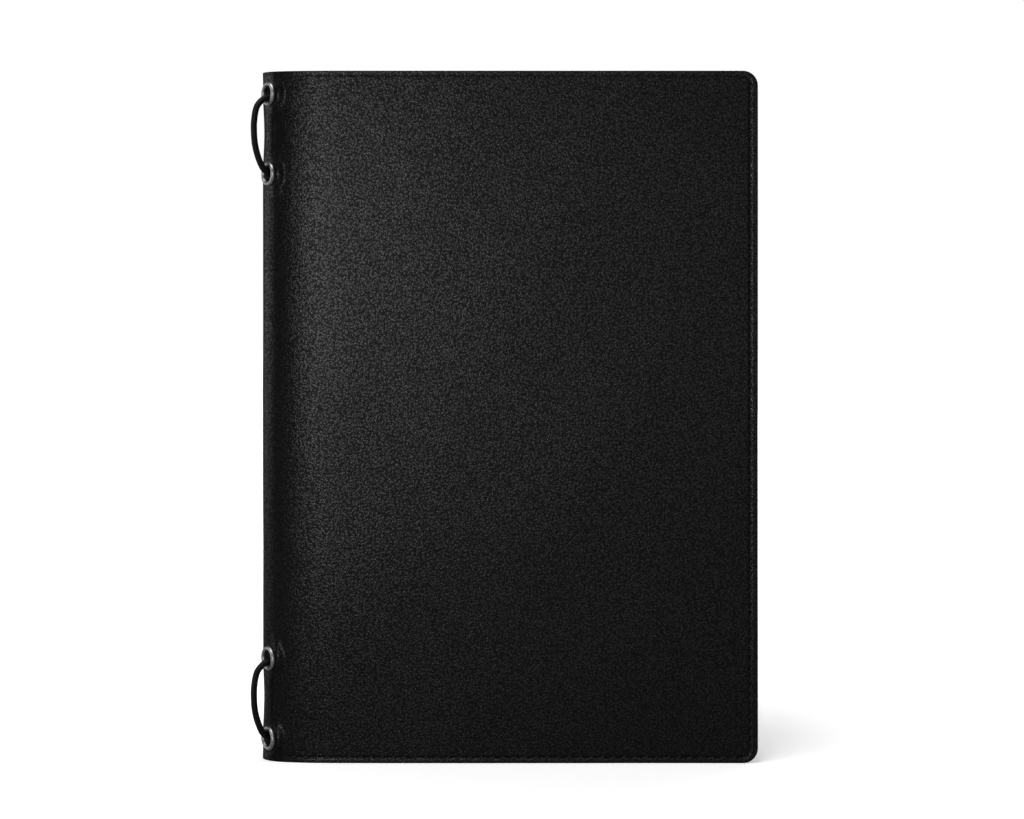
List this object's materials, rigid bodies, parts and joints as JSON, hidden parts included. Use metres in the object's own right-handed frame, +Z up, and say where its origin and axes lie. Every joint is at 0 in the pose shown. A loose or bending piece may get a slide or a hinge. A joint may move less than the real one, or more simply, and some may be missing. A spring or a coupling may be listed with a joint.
{
  "type": "notebook cover",
  "caption": "Refillable leather notebook cover with a round spine, metal eyelets and an elastic cord that holds the refills; the covers fold open flat.",
  "frame": {"origin": "on the standing surface, under the middle of the object's box, cord included", "axes": "+X from the spine to the fore-edge, the front cover faces -Y, +Z up the spine"},
  "size_m": [0.159, 0.017, 0.217],
  "materials": {
    "cover_leather": "fine pebbled grain, satin, black, with black painted cut edges",
    "pocket_leather": "smooth matte black leather",
    "lining": "black microfibre with a short nap",
    "board": "grey bonded board",
    "eyelet_metal": "dark nickel plate, satin",
    "crimp_metal": "dark nickel plate, satin",
    "elastic": "black round elastic with a fine braided sheath"
  },
  "bodies": {
    "back_cover": {"back_cover_leather": "cover_leather", "back_stiffener": "board", "back_lining": "lining", "back_pocket": "pocket_leather"},
    "spine_rear": {"spine_leather_rear": "cover_leather", "spine_lining_rear": "lining"},
    "spine_front": {"spine_leather": "cover_leather", "spine_lining": "lining", "eyelet_1": "eyelet_metal", "eyelet_2": "eyelet_metal", "eyelet_3": "eyelet_metal", "eyelet_4": "eyelet_metal", "eyelet_washer_1": "eyelet_metal", "eyelet_washer_2": "eyelet_metal", "eyelet_washer_3": "eyelet_metal", "eyelet_washer_4": "eyelet_metal", "elastic_cord": "elastic", "cord_crimp": "crimp_metal"},
    "front_cover": {"front_cover_leather": "cover_leather", "front_stiffener": "board", "front_lining": "lining", "front_pocket": "pocket_leather"}
  },
  "joints": [
    {"name": "rear_fold", "type": "hinge", "parent": "back_cover", "child": "spine_rear", "pos_m": [-0.07258, 0.00765, 0.1085], "axis": [0, 0, -1], "range_deg": [0, 62]},
    {"name": "middle_fold", "type": "hinge", "parent": "spine_rear", "child": "spine_front", "pos_m": [-0.07689, -0.00047, 0.1085], "axis": [0, 0, -1], "range_deg": [0, 62]},
    {"name": "front_fold", "type": "hinge", "parent": "spine_front", "child": "front_cover", "pos_m": [-0.07213, -0.00781, 0.1085], "axis": [0, 0, -1], "range_deg": [0, 56]}
  ],
  "couplings": [
    {"joint": "middle_fold", "follows": "rear_fold", "ratio": 1}
  ]
}
